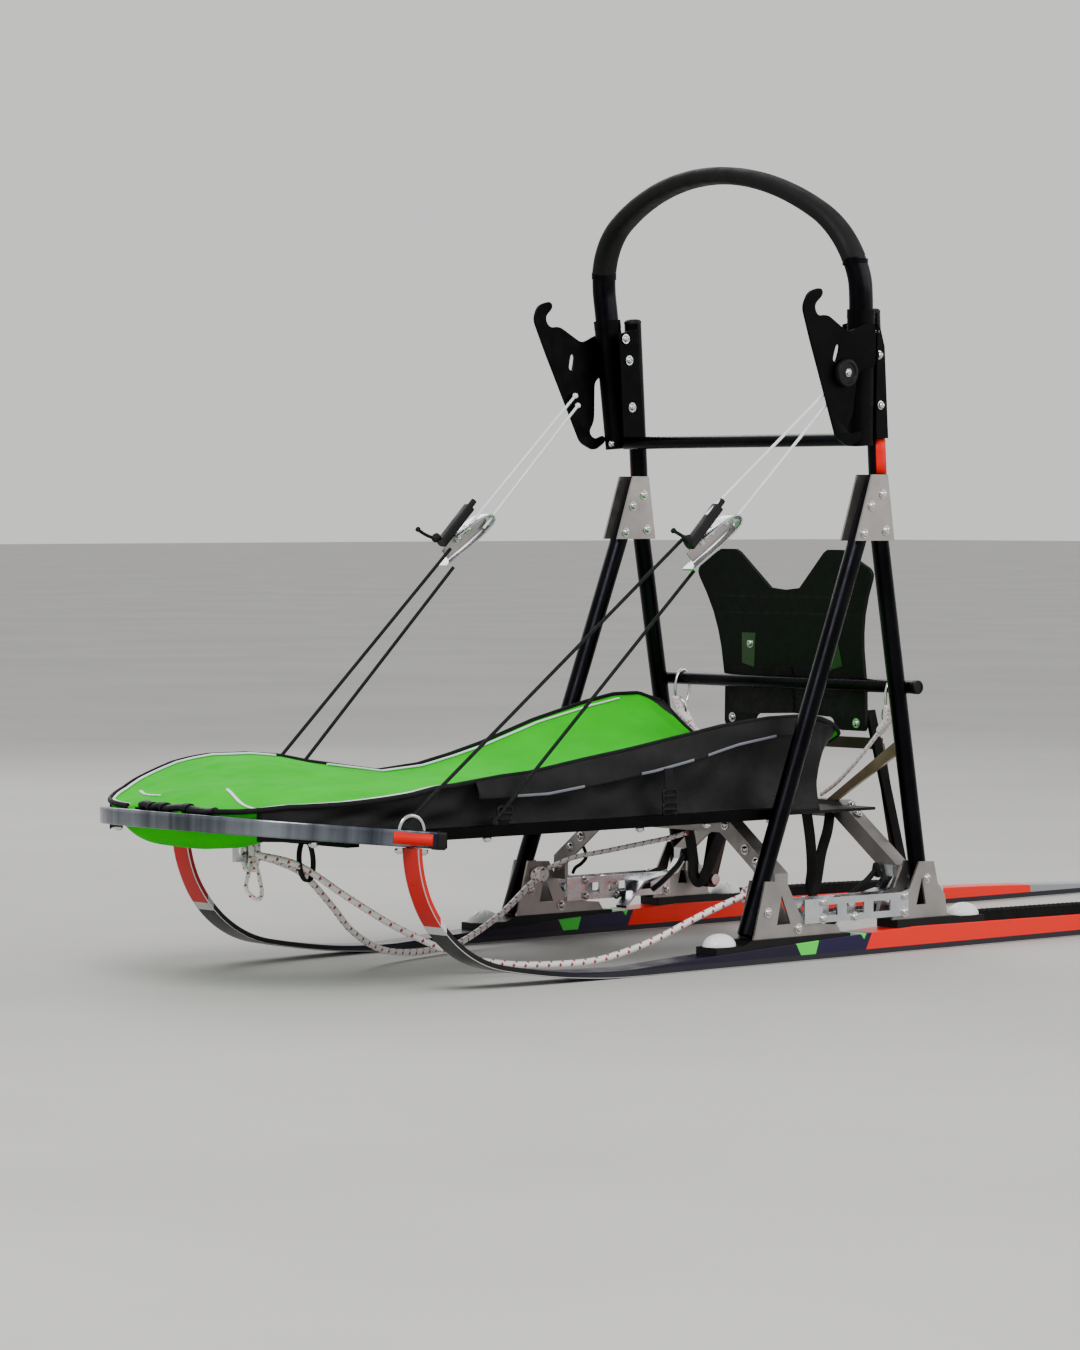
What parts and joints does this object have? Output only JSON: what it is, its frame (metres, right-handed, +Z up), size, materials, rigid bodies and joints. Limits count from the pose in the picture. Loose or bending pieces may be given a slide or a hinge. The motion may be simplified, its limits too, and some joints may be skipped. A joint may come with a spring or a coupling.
{
  "type": "dog sled",
  "caption": "Racing dog sled: ski runners on braced side frames, handle bow, cargo bag in a front bow, swinging drag mat and claw brake, rope bridle.",
  "frame": {"origin": "on the floor, under the middle of the sled's length and width", "axes": "+X forward towards the bow, +Y to the rider's left, +Z up"},
  "size_m": [2.11, 0.555, 1.0953],
  "materials": {
    "runner": "gloss",
    "pad_rubber": "matte",
    "mat_rubber": "matte",
    "black_plastic": "satin",
    "white_plastic": "satin",
    "black_tube": "anodised",
    "black_plate": "anodised",
    "black_gloss": "gloss",
    "grey_plate": "anodised",
    "tan_plate": "anodised",
    "bare_aluminium": "brushed",
    "steel_fittings": "brushed",
    "grip_foam": "matte",
    "bag_black": "woven",
    "bag_green": "woven",
    "line_white": "braided"
  },
  "bodies": {
    "sled": {"ski_left": "runner", "ski_right": "runner", "foot_pads": "pad_rubber", "toe_bases": "black_plastic", "toe_caps": "white_plastic", "front_feet": "grey_plate", "rear_feet": "grey_plate", "ladder_rail_left": "bare_aluminium", "ladder_rail_right": "bare_aluminium", "front_leg_left": "black_tube", "front_leg_right": "black_tube", "rear_leg_left": "black_tube", "rear_leg_right": "black_tube", "gussets": "grey_plate", "upright_left": "black_tube", "upright_right": "black_tube", "handle_bow": "black_tube", "handle_grip": "grip_foam", "handle_brackets": "black_plate", "hook_plate_left": "black_plastic", "hook_plate_right": "black_plastic", "upper_crossbar": "black_tube", "lower_crossbar": "black_tube", "front_arch": "grey_plate", "rear_arch": "grey_plate", "arch_struts": "tan_plate", "arch_braces": "bare_aluminium", "bed_rail_left": "black_plate", "bed_rail_right": "black_plate", "bed_plate": "black_plastic", "front_bow": "black_gloss", "tow_crossbar": "black_plate", "tow_eye": "bare_aluminium", "sled_bag": "bag_black", "bag_cover": "bag_green", "stay_left": "line_white", "stay_right": "line_white", "stay_blocks": "steel_fittings", "hinge_pins": "steel_fittings", "bridle_left": "line_white", "bridle_right": "line_white"},
    "drag": {"drag_arms": "black_plate", "drag_mat": "mat_rubber"},
    "brake": {"brake_frame": "tan_plate"}
  },
  "joints": [
    {"name": "drag_mat_hinge", "type": "hinge", "parent": "sled", "child": "drag", "pos_m": [-0.121, 0, 0.07], "axis": [0, -1, 0], "range_deg": [0, 98]},
    {"name": "brake_hinge", "type": "hinge", "parent": "sled", "child": "brake", "pos_m": [-0.121, 0, 0.07], "axis": [0, -1, 0], "range_deg": [0, 90]}
  ]
}
